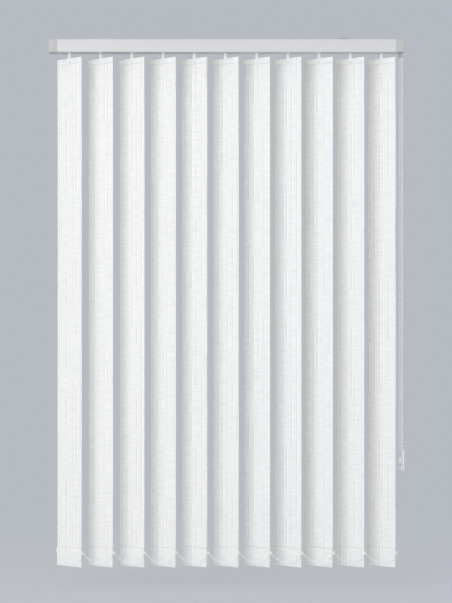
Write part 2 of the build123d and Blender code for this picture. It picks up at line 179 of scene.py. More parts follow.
class FinishSettings(bpy.types.PropertyGroup):
    """Base colours of the finishes."""

    cloth: colour("Cloth", "White slub cloth", (0.97, 0.97, 0.965))
    # The headrail's paint and the caps' mouldings are white; their tints are set darker as painted
    # shade, the caps darker still
    rail: colour("Headrail", "Satin white paint", (0.60, 0.60, 0.605))
    cap: colour("Caps", "White mouldings", (0.46, 0.46, 0.465))
    hook: colour("Hooks", "Milky mouldings", (0.88, 0.88, 0.88))
    bead: colour("Beads", "Glossy white beads", (0.92, 0.92, 0.915))
    gear: colour("Running gear", "Pale grey mouldings", (0.56, 0.565, 0.56))
    weight: colour("Weights", "White coated steel", (0.78, 0.78, 0.77))
    steel: colour("Brackets", "Spring steel", (0.38, 0.38, 0.39))
    aluminium: colour("Rod", "Extruded aluminium", (0.70, 0.70, 0.71))


class StageSettings(bpy.types.PropertyGroup):
    """Camera, light and surroundings."""

    distance: length("Camera distance", "From the camera to the row of louvre axes", 4.8)
    eye_drop: length("Eye drop", "How far the camera stands below the headrail's top", 773 * MM)
    sideways: length("Sideways", "How far the camera stands beside the headrail's middle", -1.5 * MM)
    lens: FloatProperty(
        name="Lens", description="Focal length in millimetres", default=111.8, unit="CAMERA"
    )
    shift: FloatProperty(name="Shift", description="Upward shift of the view", default=0.0672)
    floor_gap: length("Floor gap", "Space between the louvres and the floor", 60 * MM)
    floor_radius: length("Floor radius", "Radius of the round floor", 12.0)
    fade_start: length("Fade start", "Where the floor starts to fade into the surroundings", 0.5)
    fade_end: length("Fade end", "Where the floor has the colour of the surroundings", 2.4)
    pale: colour("Floor", "Colour of the floor", (0.66, 0.68, 0.71))
    sky: colour("Studio light", "Colour of the light from all round", (1.0, 1.0, 1.0))
    sky_strength: FloatProperty(
        name="Studio light strength", description="Light from all round", default=0.55
    )
    seen: colour("Surroundings", "Colour that the camera sees round the blind", (0.47, 0.50, 0.54))
    seen_share: FloatProperty(
        name="Seen share",
        description="How much of the floor's shadow the surroundings' colour covers under the blind",
        default=0.65,
        subtype="FACTOR",
        min=0.0,
        max=1.0,
    )


def settings(name):
    """The scene's property group of that name."""
    return getattr(bpy.context.scene, BLIND + name)


def link_object(name, data):
    """A new object at the origin that shows the data."""
    piece = bpy.data.objects.new(name, data)
    bpy.context.scene.collection.objects.link(piece)
    return piece


def shape_mesh(shape, name, material):
    """A mesh of a finished shape, in one material."""
    mesh = bpy.data.meshes.new(name)
    shape.to_mesh(mesh)
    shape.free()
    mesh.materials.append(material)
    return mesh


def dress(piece, body, slot, *nodes):
    """Ties a piece to its body and to the nodes that it stands for; the slot of its finish is not
    used.
    """
    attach(piece, body)
    if nodes:
        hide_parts(*nodes)


def round_edges(piece, width, segments):
    """A live bevel on a piece's sharp edges."""
    edges = piece.modifiers.new("Rounded edges", "BEVEL")
    edges.width = width
    edges.segments = segments
    edges.limit_method = "ANGLE"
    return edges


def add_node(tree, kind, values=None, **options):
    """A node with its options, whose inputs are given as values or as sockets to link."""
    node = tree.nodes.new(kind)
    for key, value in options.items():
        setattr(node, key, value)
    for key, value in (values or {}).items():
        if isinstance(value, bpy.types.NodeSocket):
            tree.links.new(value, node.inputs[key])
        else:
            node.inputs[key].default_value = value
    return node


def add_math(tree, operation, *terms, kind="ShaderNodeMath"):
    """The result of one math node."""
    return add_node(tree, kind, dict(enumerate(terms)), operation=operation).outputs[0]


def add_vector(tree, x=0.0, y=0.0, z=0.0):
    """A vector from three numbers."""
    return add_node(tree, "ShaderNodeCombineXYZ", {0: x, 1: y, 2: z}).outputs[0]


def tools(tree):
    """Short calls for one tree: a new node, the result of a math node and a vector."""
    return partial(add_node, tree), partial(add_math, tree), partial(add_vector, tree)


def soft_step(tree, value, low, high):
    """A soft step from 0 at low to 1 at high."""
    return add_node(
        tree, "ShaderNodeMapRange", {0: value, 1: low, 2: high}, interpolation_type="SMOOTHSTEP"
    ).outputs[0]


def add_inputs(tree, numbers, others):
    """Named inputs of a tree, plain numbers and other kinds, as the sockets that give their values."""
    kinds = dict.fromkeys(numbers, "Float") | others
    for label, kind in kinds.items():
        tree.interface.new_socket(label, in_out="INPUT", socket_type=f"NodeSocket{kind}")
    return tree.nodes.new("NodeGroupInput").outputs


def geometry_tree(name, numbers, others):
    """A geometry tree with its named inputs."""
    tree = bpy.data.node_groups.new(name, "GeometryNodeTree")
    for way in ("INPUT", "OUTPUT"):
        tree.interface.new_socket("Geometry", in_out=way, socket_type="NodeSocketGeometry")
    return tree, add_inputs(tree, numbers, others)


def join(tree, *parts):
    """Parts joined to one geometry."""
    node = add_node(tree, "GeometryNodeJoinGeometry")
    for part in parts:
        tree.links.new(part, node.inputs[0])
    return node.outputs[0]


def end_tree(tree, geometry, material):
    """Ends a geometry tree in real faces that carry the material."""
    real = add_node(tree, "GeometryNodeRealizeInstances", {"Geometry": geometry})
    dressed = add_node(
        tree, "GeometryNodeSetMaterial", {"Geometry": real.outputs[0], "Material": material}
    )
    add_node(tree, "NodeGroupOutput", {0: dressed.outputs[0]})


def grow(name, mesh, tree, values):
    """A plain mesh, made by a geometry tree from a starting mesh and named values."""
    piece = link_object(name, mesh)
    modifier = piece.modifiers.new(tree.name, "NODES")
    modifier.node_group = tree
    names = {s.name: s.identifier for s in tree.interface.items_tree if s.in_out == "INPUT"}
    for label, value in values.items():
        modifier[names[label]] = value
    graph = bpy.context.evaluated_depsgraph_get()
    grown = bpy.data.meshes.new_from_object(piece.evaluated_get(graph))
    grown.name = name
    grown.materials.clear()
    grown.materials.append(values["Material"])
    bpy.data.objects.remove(piece)
    bpy.data.meshes.remove(mesh)
    return grown


def strip_mesh(name, points):
    """Points joined by edges, as the start of a geometry tree."""
    mesh = bpy.data.meshes.new(name)
    mesh.from_pydata(points, [(i, i + 1) for i in range(len(points) - 1)], [])
    return mesh


def bead_tree():
    """Beads at an even spacing on a thread, along the starting mesh's edges."""
    tree, given = geometry_tree(
        "Bead chain", ("Bead Spacing", "Bead Radius", "Thread Radius"), {"Material": "Material"}
    )
    put = partial(add_node, tree)
    line = put("GeometryNodeMeshToCurve", {"Mesh": given["Geometry"]}).outputs[0]
    places = put(
        "GeometryNodeResampleCurve", {"Curve": line, "Length": given["Bead Spacing"]}, mode="LENGTH"
    )
    bead = put("GeometryNodeMeshIcoSphere", {"Radius": given["Bead Radius"], "Subdivisions": 2})
    beads = put(
        "GeometryNodeInstanceOnPoints", {"Points": places.outputs[0], "Instance": bead.outputs[0]}
    )
    ring = put(
        "GeometryNodeCurvePrimitiveCircle", {"Resolution": 6, "Radius": given["Thread Radius"]}
    )
    thread = put(
        "GeometryNodeCurveToMesh",
        {"Curve": line, "Profile Curve": ring.outputs[0], "Fill Caps": True},
    )
    both = join(tree, beads.outputs[0], thread.outputs[0])
    real = put("GeometryNodeRealizeInstances", {"Geometry": both})
    smooth = put("GeometryNodeSetShadeSmooth", {"Geometry": real.outputs[0]})
    end_tree(tree, smooth.outputs[0], given["Material"])
    return tree


def louvre_tree():
    """A folded louvre: a strip of cloth over a section, with its hole, wave, thickness and welds."""
    sharp_angle = math.radians(50)
    mark_share = 0.62
    tree, given = geometry_tree(
        "Louvre",
        (
            *("Width", "Cloth", "Hole Width", "Hole Top", "Hole Bottom"),
            *("Wave", "Curl", "Fade", "Wave Top", "Wave Bottom"),
            *("Weld Pitch", "Top Weld Depth", "Bottom Weld Depth", "Seed"),
        ),
        {"Columns": "Int", "Top Weld": "Vector", "Bottom Weld": "Vector", "Material": "Material"},
    )
    put, calc, vector = tools(tree)
    position = put("GeometryNodeInputPosition").outputs[0]
    across, _, height = put("ShaderNodeSeparateXYZ", {0: position}).outputs
    # Each row of the grid takes its place from the section's point of that number
    section = given["Geometry"]
    rows = put("GeometryNodeAttributeDomainSize", {"Geometry": section}).outputs[0]
    columns = calc("ADD", given["Columns"], 1.0)
    grid = put(
        "GeometryNodeMeshGrid",
        {"Size X": given["Width"], "Size Y": 1.0, "Vertices X": columns, "Vertices Y": rows},
    )
    row = calc("MODULO", put("GeometryNodeInputIndex").outputs[0], rows)
    place = put(
        "GeometryNodeSampleIndex",
        {"Geometry": section, "Value": position, "Index": row},
        data_type="FLOAT_VECTOR",
        domain="POINT",
    )
    fold = put("ShaderNodeSeparateXYZ", {0: place.outputs[0]}).outputs
    strip = put(
        "GeometryNodeSetPosition",
        {"Geometry": grid.outputs[0], "Position": vector(across, fold[1], fold[2])},
    )
    # The weave is laid out by width and height, and starts elsewhere on every louvre
    weave_place = vector(calc("ADD", across, given["Seed"]), height)
    mapped = put(
        "GeometryNodeStoreNamedAttribute",
        {"Geometry": strip.outputs[0], "Name": UV_NAME, "Value": weave_place},
        data_type="FLOAT2",
        domain="CORNER",
    )
    # The hook's hole, through both layers of the band
    half_hole = calc("MULTIPLY", given["Hole Width"], 0.5)
    inside = calc("LESS_THAN", calc("ABSOLUTE", across), half_hole)
    under = calc("LESS_THAN", height, given["Hole Top"])
    over = calc("GREATER_THAN", height, given["Hole Bottom"])
    in_hole = calc("MULTIPLY", inside, calc("MULTIPLY", under, over))
    holed = put(
        "GeometryNodeDeleteGeometry",
        {"Geometry": mapped.outputs[0], "Selection": in_hole},
        domain="FACE",
    )
    # Slow waves and a curl of the long edges, fading out at the band and the pocket
    drift = put(
        "ShaderNodeTexNoise",
        {"Vector": position, "W": given["Seed"], "Scale": 5.0, "Detail": 1.0, "Roughness": 0.4},
        noise_dimensions="4D",
    )
    swing = calc("MULTIPLY", calc("SUBTRACT", drift.outputs[0], 0.5), given["Wave"])
    share = calc("DIVIDE", across, given["Width"])
    bow = calc("MULTIPLY", calc("MULTIPLY", share, share), given["Curl"])
    bottom, top, fade = given["Wave Bottom"], given["Wave Top"], given["Fade"]
    low = soft_step(tree, height, bottom, calc("ADD", bottom, fade))
    high = soft_step(tree, height, top, calc("SUBTRACT", top, fade))
    # The noise reaches half a wave and the share's square a quarter of the curl
    whole = calc("ADD", calc("MULTIPLY", swing, 2.0), calc("MULTIPLY", bow, 4.0))
    move = calc("MULTIPLY", calc("MULTIPLY", low, high), whole)
    waved = put(
        "GeometryNodeSetPosition", {"Geometry": holed.outputs[0], "Offset": vector(0.0, move)}
    )
    # The cloth's thickness, on the outside of the folds and closed all round
    outside = put("GeometryNodeFlipFaces", {"Mesh": waved.outputs[0]})
    thick = put(
        "GeometryNodeExtrudeMesh",
        {"Mesh": outside.outputs[0], "Offset Scale": given["Cloth"], "Individual": False},
        mode="FACES",
    )
    both = join(tree, thick.outputs[0], waved.outputs[0])
    closed = put("GeometryNodeMergeByDistance", {"Geometry": both, "Distance": MERGE})
    smooth = put("GeometryNodeSetShadeSmooth", {"Geometry": closed.outputs[0]})
    angle = put("GeometryNodeInputMeshEdgeAngle").outputs[0]
    sharp = calc("GREATER_THAN", angle, sharp_angle)
    edged = put(
        "GeometryNodeSetShadeSmooth",
        {"Geometry": smooth.outputs[0], "Selection": sharp, "Shade Smooth": False},
        domain="EDGE",
    )
    # Welds: a row of short pressed marks at the band's lower edge, and at the pocket's upper edge
    pitch = given["Weld Pitch"]
    count = calc("FLOOR", calc("DIVIDE", given["Width"], pitch))
    run = calc("MULTIPLY", calc("SUBTRACT", count, 1.0), pitch)
    row_start = vector(calc("MULTIPLY", run, -0.5))
    mark_length = calc("MULTIPLY", pitch, mark_share)
    mark_height = calc("MULTIPLY", given["Cloth"], 2.0)
    parts = [edged.outputs[0]]
    for weld in ("Top Weld", "Bottom Weld"):
        mark_size = vector(mark_length, given[f"{weld} Depth"], mark_height)
        mark = put("GeometryNodeMeshCube", {"Size": mark_size})
        first = calc("ADD", row_start, given[weld], kind="ShaderNodeVectorMath")
        line = put(
            "GeometryNodeMeshLine",
            {"Count": count, "Start Location": first, "Offset": vector(pitch)},
        )
        marks = put(
            "GeometryNodeInstanceOnPoints",
            {"Points": line.outputs[0], "Instance": mark.outputs[0]},
        )
        parts.append(marks.outputs[0])
    end_tree(tree, join(tree, *parts), given["Material"])
    return tree


def shader_group(name, numbers, others, results):
    """A shader group with its named inputs, and with numbers as its results."""
    group = bpy.data.node_groups.new(name, "ShaderNodeTree")
    for label in results:
        group.interface.new_socket(label, in_out="OUTPUT", socket_type="NodeSocketFloat")
    given = add_inputs(group, numbers, others)
    return group, given, group.nodes.new("NodeGroupOutput").inputs


def noise(tree, across, along, spread, rise, detail=2.0):
    """Flat noise whose specks are spread wide and rise high, in metres."""
    put, calc, vector = tools(tree)
    place = vector(calc("DIVIDE", across, spread), calc("DIVIDE", along, rise))
    return put(
        "ShaderNodeTexNoise",
        {"Vector": place, "Scale": 1.0, "Detail": detail, "Roughness": 0.6},
        noise_dimensions="2D",
    ).outputs[0]


def ripple(tree, place, spacing):
    """A wave along one direction, with crests at the spacing."""
    turns = add_math(tree, "DIVIDE", place, spacing)
    return add_math(tree, "SINE", add_math(tree, "MULTIPLY", turns, math.tau))


def slub_group():
    """A slub weave on cloth coordinates in metres: a shade and a height."""
    group, given, result = shader_group(
        "Slub weave",
        ("Weft Spacing", "Warp Spacing", "Slub Spacing", "Slub Length", "Slub Width"),
        {"Coordinates": "Vector"},
        ("Shade", "Height"),
    )
    put, calc, vector = tools(group)
    across, along, _ = put("ShaderNodeSeparateXYZ", {0: given["Coordinates"]}).outputs
    weft, warp = given["Weft Spacing"], given["Warp Spacing"]
    # The plain weave: warp and weft pass over each other by turns
    weave = calc("MULTIPLY", ripple(group, across, warp), ripple(group, along, warp))
    # Fine threads both ways, and thicker weft threads that run on for some centimetres
    fine_weft = noise(group, across, along, 12 * MM, weft)
    fine_warp = noise(group, across, along, warp, 20 * MM)
    thick = noise(group, across, along, 35 * MM, calc("MULTIPLY", weft, 2.6), detail=3.0)
    thick = soft_step(group, thick, 0.3, 0.7)
    cloudy = noise(group, across, along, 50 * MM, 90 * MM)
    # Long raised slubs, a thread wide, that start and stop along the louvre, each with a groove beside
    # it that is painted darker as the slub's shadow
    run_stride, swell_stride = 7.3, 3.1
    shares = calc("DIVIDE", across, given["Slub Spacing"])
    column = calc("FLOOR", shares)
    dice = put("ShaderNodeTexWhiteNoise", {"W": column}, noise_dimensions="1D")
    wander = calc("MULTIPLY_ADD", dice.outputs[0], 0.6, 0.2)
    beside = calc(
        "MULTIPLY",
        calc("SUBTRACT", calc("FRACT", shares), wander),
        calc("DIVIDE", given["Slub Spacing"], given["Slub Width"]),
    )
    run_place = vector(
        calc("MULTIPLY", column, run_stride), calc("DIVIDE", along, given["Slub Length"])
    )
    run = put(
        "ShaderNodeTexNoise",
        {"Vector": run_place, "Scale": 1.0, "Detail": 0.0},
        noise_dimensions="2D",
    )
    runs = soft_step(group, run.outputs[0], 0.46, 0.53)
    # Each slub swells and thins along its run, and tapers where it starts and stops
    swell = noise(group, calc("MULTIPLY", column, swell_stride), along, 1.0, 30 * MM)
    body = calc("MULTIPLY", calc("MULTIPLY_ADD", swell, 0.8, 0.45), runs)
    aside = calc("DIVIDE", beside, calc("MAXIMUM", body, 0.05))
    ridge = soft_step(group, calc("ABSOLUTE", aside), 0.65, 0.25)
    groove_shadow_step = soft_step(group, calc("ABSOLUTE", calc("ADD", aside, 0.95)), 0.55, 0.2)
    slub = calc("MULTIPLY", ridge, runs)
    groove_shadow_runs = calc("MULTIPLY", groove_shadow_step, runs)
    # A plain level, and how much each kind of thread adds to it
    threads = 0.22
    for mask, share in (
        (fine_weft, 0.2),
        (fine_warp, 0.14),
        (thick, 0.24),
        (cloudy, 0.07),
        (weave, 0.07),
    ):
        threads = calc("MULTIPLY_ADD", mask, share, threads)
    # Each slub is raised and lighter; the groove beside it dips the height and is painted darker, a
    # painted shadow of the slub
    for label, rise, dip in (("Height", 0.3, -0.2), ("Shade", 0.38, -0.55)):
        raised = calc("MULTIPLY_ADD", slub, rise, threads)
        group.links.new(calc("MULTIPLY_ADD", groove_shadow_runs, dip, raised), result[label])
    return group


def grain_group():
    """A moulded or painted skin: a soft mottle and a fine grain."""
    group, given, result = shader_group(
        "Skin grain", ("Grain Scale", "Mottle Scale"), {"Stretch": "Vector"}, ("Mottle", "Height")
    )
    place = add_node(group, "ShaderNodeTexCoord").outputs["Object"]
    drawn = add_math(group, "MULTIPLY", place, given["Stretch"], kind="ShaderNodeVectorMath")
    for label, scale, detail in (("Height", "Grain Scale", 3.0), ("Mottle", "Mottle Scale", 2.0)):
        specks = add_node(
            group, "ShaderNodeTexNoise", {"Vector": drawn, "Scale": given[scale], "Detail": detail}
        )
        group.links.new(specks.outputs[0], result[label])
    return group


def shaded(tree, tint, mask, depth):
    """A colour that is a little darker where a mask is low."""
    mix = add_node(tree, "ShaderNodeMix", {0: mask}, data_type="RGBA")
    mix.inputs[6].default_value = tuple(c * (1 - depth) for c in tint) + (1.0,)
    mix.inputs[7].default_value = tuple(tint) + (1.0,)
    return mix.outputs[2]


def new_material(name):
    """A material, its tree and its shader."""
    material = bpy.data.materials.new(name)
    material.use_nodes = True
    return material, material.node_tree, material.node_tree.nodes["Principled BSDF"]


def add_bump(tree, shader, height, depth, strength):
    """Bump from a height to a shader's normal."""
    bump = add_node(
        tree, "ShaderNodeBump", {"Strength": strength, "Distance": depth, "Height": height}
    )
    tree.links.new(bump.outputs[0], shader.inputs["Normal"])


def weld_levels():
    """Heights of a louvre's two welds: just inside the top band and the bottom pocket."""
    s = settings("louvres")
    inset = 1.0 * MM
    return LOUVRE_TOP - s.band + inset, LOUVRE_BOTTOM + s.pocket - inset


def cloth_material(tint):
    """White slub cloth."""
    _, tree, shader = new_material(CLOTH)
    place = add_node(tree, "ShaderNodeUVMap", uv_map=UV_NAME).outputs[0]
    weave = add_node(
        tree,
        "ShaderNodeGroup",
        {
            "Coordinates": place,
            "Weft Spacing": 1.1 * MM,
            "Warp Spacing": 0.8 * MM,
            "Slub Spacing": 17 * MM,
            "Slub Length": 130 * MM,
            "Slub Width": 3.0 * MM,
        },
        node_tree=bpy.data.node_groups["Slub weave"],
    )
    level = add_node(tree, "ShaderNodeSeparateXYZ", {0: place}).outputs[1]
    shade = weave.outputs["Shade"]
    # The cloth is a little darker along the welds: partly the pressed cloth's own tone, partly painted
    # shade of the pressed groove
    for weld in weld_levels():
        away = add_math(tree, "ABSOLUTE", add_math(tree, "SUBTRACT", level, weld))
        weld_tone_and_shade = soft_step(tree, away, 1.6 * MM, 0.8 * MM)
        shade = add_math(tree, "MULTIPLY_ADD", weld_tone_and_shade, -0.45, shade)
    tree.links.new(shaded(tree, tint, shade, depth=0.32), shader.inputs["Base Color"])
    shader.inputs["Roughness"].default_value = 0.85
    shader.inputs["Specular IOR Level"].default_value = 0.25
    shader.inputs["Sheen Weight"].default_value = 0.15
    add_bump(tree, shader, weave.outputs["Height"], depth=0.35 * MM, strength=0.6)


def skin_material(name, tint, roughness, grain, depth, metallic=0.0, stretch=(1, 1, 1)):
    """A moulded, painted or bare metal skin."""
    grains_in_mottle, rough_spread = 25, 0.15
    material, tree, shader = new_material(name)
    skin = add_node(
        tree,
        "ShaderNodeGroup",
        {"Grain Scale": grain, "Mottle Scale": grain / grains_in_mottle, "Stretch": stretch},
        node_tree=bpy.data.node_groups["Skin grain"],
    )
    mottle = skin.outputs["Mottle"]
    tree.links.new(shaded(tree, tint, mottle, depth=0.05), shader.inputs["Base Color"])
    # The roughness goes up and down with the mottle
    smooth, dull = roughness * (1 - rough_spread), roughness * (1 + rough_spread)
    rough = add_node(
        tree, "ShaderNodeMapRange", {0: mottle, 1: 0.3, 2: 0.7, 3: smooth, 4: dull}
    )
    tree.links.new(rough.outputs[0], shader.inputs["Roughness"])
    shader.inputs["Metallic"].default_value = metallic
    add_bump(tree, shader, skin.outputs["Height"], depth, strength=0.3)
    return material


def give(material, *names):
    """CAD nodes that take a finish."""
    for name in names:
        data = NODES[name].data
        data.materials.clear()
        data.materials.append(material)


def numbered(stem):
    """The names of a row of like nodes."""
    return [f"{stem}_{number}" for number in NUMBERS]


class BLIND_OT_finishes(bpy.types.Operator):
    """Makes the finishes, and gives each solid piece its own"""

    bl_idname = "blind.finishes"
    bl_label = "Finishes"

    def execute(self, context):
        tint = settings("finishes")
        slub_group()
        grain_group()
        cloth_material(tint.cloth)
        # The caps' and the headrail's tints hold painted shade
        skin_material(CAP, tint.cap, roughness=0.45, grain=1400, depth=0.04 * MM)
        skin_material(HOOK, tint.hook, roughness=0.28, grain=1200, depth=0.02 * MM)
        skin_material(BEAD, tint.bead, roughness=0.22, grain=900, depth=0.01 * MM)
        rail = skin_material(
            "Satin rail paint", tint.rail, roughness=0.38, grain=900, depth=0.03 * MM
        )
        gear = skin_material(
            "Grey moulding", tint.gear, roughness=0.5, grain=1400, depth=0.04 * MM
        )
        weight = skin_material(
            "Coated steel", tint.weight, roughness=0.4, grain=1500, depth=0.03 * MM
        )
        steel = skin_material(
            "Spring steel",
            tint.steel,
            roughness=0.35,
            grain=1500,
            depth=0.02 * MM,
            metallic=1.0,
            stretch=(0.05, 1, 1),
        )
        aluminium = skin_material(
            "Extruded aluminium",
            tint.aluminium,
            roughness=0.3,
            grain=2500,
            depth=0.02 * MM,
            metallic=1.0,
            stretch=(0.02, 1, 1),
        )
        give(rail, "headrail")
        give(gear, "drive_sprocket", *numbered("carrier"))
        give(weight, *numbered("bottom_weight"))
        give(steel, "mounting_bracket_left", "mounting_bracket_right")
        give(aluminium, "tilt_rod")
        return {"FINISHED"}


def louvre_place(number):
    """Where a louvre's own frame stands: X across its width, Y through its thickness, Z up."""
    turn = Matrix.Rotation(-settings("louvres").tilt, 4, "Z")
    return Matrix.Translation((AXES[number], 0, 0)) @ turn


def hole_levels(s):
    """Top and bottom of the hook's hole."""
    top = LOUVRE_TOP - s.hole_drop + s.hole_height / 2
    return top, top - s.hole_height


def fold_angles(count):
    """Angles between the ends of a half turn."""
    return [math.pi * k / (count + 1) for k in range(1, count + 1)]


def louvre_section(s):
    """The cloth's inner face from the band's free edge over the top, down, and up into the pocket."""
    taper, margin = 6.0 * MM, 1.0 * MM
    band = s.band_depth / 2 - s.cloth
    pocket = s.pocket_depth / 2 - s.cloth
    crown_z = LOUVRE_TOP - s.cloth - band
    nose_z = LOUVRE_BOTTOM + s.cloth + pocket
    pocket_top = LOUVRE_BOTTOM + s.pocket
    hole_top, hole_bottom = hole_levels(s)
    band_levels = [LOUVRE_TOP - s.band + s.cloth, hole_bottom, hole_top, crown_z]
    pocket_levels = [pocket_top - taper, LOUVRE_BOTTOM + s.pocket / 2, nose_z]
    start, stop = LOUVRE_TOP - s.band - margin, pocket_top + margin
    points = [(band, z) for z in band_levels]
    points += [(band * math.cos(a), crown_z + band * math.sin(a)) for a in fold_angles(3)]
    points += [(-band, z) for z in reversed(band_levels[1:])]
    points += [(s.cloth / 2, start + (stop - start) * k / s.rows) for k in range(s.rows + 1)]
    points += [(-pocket, z) for z in pocket_levels]
    points += [(-pocket * math.cos(a), nose_z - pocket * math.sin(a)) for a in fold_angles(4)]
    points += [(pocket, z) for z in reversed(pocket_levels)] + [(s.cloth, pocket_top)]
    return [(0, through, height) for through, height in points]


class BLIND_OT_louvres(bpy.types.Operator):
    """Folds a cloth louvre for every hook"""

    bl_idname = "blind.louvres"
    bl_label = "Louvres"

    def execute(self, context):
        s = settings("louvres")
        tree = louvre_tree()
        section = louvre_section(s)
        hole_top, hole_bottom = hole_levels(s)
        top_weld, bottom_weld = weld_levels()
        sizes = {
            "Width": s.width,
            "Columns": s.columns,
            "Cloth": s.cloth,
            "Hole Width": s.hole_width,
            "Hole Top": hole_top,
            "Hole Bottom": hole_bottom,
            "Wave": s.wave,
            "Curl": s.curl,
            "Fade": s.fade,
            "Wave Top": LOUVRE_TOP - s.band,
            "Wave Bottom": LOUVRE_BOTTOM + s.pocket,
            # The weld marks' middles, and their depths through the layers that they join
            "Top Weld": (0, 0.1 * MM, top_weld),
            "Top Weld Depth": 1.02 * MM,
            "Bottom Weld": (0, 0.19 * MM, bottom_weld),
            "Bottom Weld Depth": 1.5 * MM,
            "Weld Pitch": s.weld_pitch,
            "Material": bpy.data.materials[CLOTH],
        }
        for turn, number in enumerate(NUMBERS):
            name = f"cloth_louvre_{number}"
            sizes["Seed"] = float(s.seed + turn)
            mesh = grow(name, strip_mesh(f"section_{number}", section), tree, sizes)
            mesh.transform(louvre_place(number))
            louvre = link_object(name, mesh)
            dress(louvre, f"vane_{number}", "louvre_fabric", f"louvre_{number}")
        return {"FINISHED"}


class BLIND_OT_mouldings(bpy.types.Operator):
    """Rounds the edges of the end caps and of the chain tidy"""

    bl_idname = "blind.mouldings"
    bl_label = "Mouldings"

    def execute(self, context):
        s = settings("mouldings")
        for node, edge, finish in (
            ("left_end_cap", s.cap_round, CAP),
            ("control_end_cap", s.cap_round, CAP),
            ("chain_tidy", s.tidy_round, HOOK),
        ):
            shape = bmesh.new()
            shape.from_mesh(NODES[node].data)
            bmesh.ops.remove_doubles(shape, verts=shape.verts, dist=MERGE)
            bmesh.ops.dissolve_limit(
                shape, angle_limit=math.radians(1), verts=shape.verts, edges=shape.edges
            )
            for face in shape.faces:
                face.smooth = True
            name = f"moulded_{node}"
            piece = link_object(name, shape_mesh(shape, name, bpy.data.materials[finish]))
            edges = round_edges(piece, edge, segments=3)
            edges.angle_limit = math.radians(20)
            edges.harden_normals = True
            merged = piece.modifiers.new("Merged corners", "WELD")
            merged.merge_threshold = MERGE
            dress(piece, "rail", "cap_plastic", node)
        return {"FINISHED"}


def prism(shape, outline, low, high, upright=False):
    """A closed prism: an outline in plan between two heights, or upright between two depths."""
    def corner(point, depth):
        return (point[0], depth, point[1]) if upright else (point[0], point[1], depth)

    bottom = [shape.verts.new(corner(p, low)) for p in outline]
    top = [shape.verts.new(corner(p, high)) for p in outline]
    faces = [shape.faces.new(bottom), shape.faces.new(top)]
    for k in range(len(outline)):
        n = (k + 1) % len(outline)
        faces.append(shape.faces.new((bottom[k], bottom[n], top[n], top[k])))
    bmesh.ops.recalc_face_normals(shape, faces=faces)


def on_circle(radius, share):
    """The point of a circle at a share of its turn."""
    angle = 2 * math.pi * share
    return radius * math.cos(angle), radius * math.sin(angle)


def circle(radius, count=24):
    """Corners of a round outline."""
    return [on_circle(radius, k / count) for k in range(count)]


def wheel_outline(h):
    """Outline of the worm wheel, each tooth narrower at its tip than at its root."""
    root, tip = 0.34, 0.14
    corners = (
        (h.wheel_root, -root),
        (h.wheel_tip, -tip),
        (h.wheel_tip, tip),
        (h.wheel_root, root),
    )
    return [
        on_circle(radius, (tooth + share) / h.teeth)
        for tooth in range(h.teeth)
        for radius, share in corners
    ]


def hook_mesh(h):
    """One hook in a louvre's own frame: worm wheel, stem, collar, forked clip and peg."""
    collar_top = RAIL_BOTTOM - h.collar_gap
    clip_top = collar_top - h.collar_height
    wheel_bottom = HOOK_TOP - h.wheel_height
    half = h.clip_width / 2
    play = 0.3 * MM
    # The clip's side: shares of its half width and of its height, from the collar down
    width_shares = (0.55, 0.8, 1.0, 1.0, 0.8, 0.5, 0.5, 0.35)
    height_shares = (0.0, 0.16, 0.28, 0.45, 0.54, 0.62, 0.96, 1.0)
    side = [
        (half * wide, clip_top + (HOOK_BOTTOM - clip_top) * down)
        for wide, down in zip(width_shares, height_shares)
    ]
    # The neck forks into two legs just above the louvre, where they overlap a little
    fork, fork_share, overlap = LOUVRE_TOP + play, 0.9, 0.5 * MM
    neck = [p for p in side if p[1] > fork] + [(half * fork_share, fork)]
    leg = [(half * fork_share, fork + overlap)] + [p for p in side if p[1] < fork]
    inner = h.clip_gap / 2
    outer = inner + h.clip_leg
    shape = bmesh.new()
    prism(shape, wheel_outline(h), wheel_bottom, HOOK_TOP)
    prism(shape, circle(h.stem), collar_top, wheel_bottom)
    prism(shape, circle(h.collar), clip_top, collar_top)
    for outline, near, far in (
        (neck, -outer, outer),
        (leg, -outer, -inner),
        (leg, inner, outer),
    ):
        whole = outline + [(-x, z) for x, z in reversed(outline)]
        prism(shape, whole, near, far, upright=True)
    # The peg hangs a little below the top of the louvre's hole
    right, top = h.peg / 2, hole_levels(settings("louvres"))[0] - play
    left, bottom = -right, top - h.peg
    peg = [(left, bottom), (right, bottom), (right, top), (left, top)]
    prism(shape, peg, -inner, inner, upright=True)
    return shape_mesh(shape, "hook", bpy.data.materials[HOOK])


class BLIND_OT_hooks(bpy.types.Operator):
    """Makes the hooks that carry the louvres"""

    bl_idname = "blind.hooks"
    bl_label = "Hooks"

    def execute(self, context):
        h = settings("hooks")
        form = hook_mesh(h)
        for number in NUMBERS:
            mesh = form.copy()
            mesh.transform(louvre_place(number))
            hook = link_object(f"milky_hook_{number}", mesh)
            round_edges(hook, h.round, segments=2)
            dress(hook, f"vane_{number}", "hook_plastic", f"hook_{number}")
        bpy.data.meshes.remove(form)
        return {"FINISHED"}


def route_points(name, points):
    """Points along a smooth line with the route's points as its controls."""
    curve = bpy.data.curves.new(name, "CURVE")
    curve.dimensions = "3D"
    curve.resolution_u = 12
    spline = curve.splines.new("NURBS")
    spline.points.add(len(points) - 1)
    for control, point in zip(spline.points, points):
        control.co = (*point, 1.0)
    spline.order_u = 3
    spline.use_endpoint_u = True
    piece = link_object(name, curve)
    graph = bpy.context.evaluated_depsgraph_get()
    mesh = bpy.data.meshes.new_from_object(piece.evaluated_get(graph))
    line = [tuple(v.co) for v in mesh.vertices]
    bpy.data.objects.remove(piece)
    bpy.data.curves.remove(curve)
    bpy.data.meshes.remove(mesh)
    return line


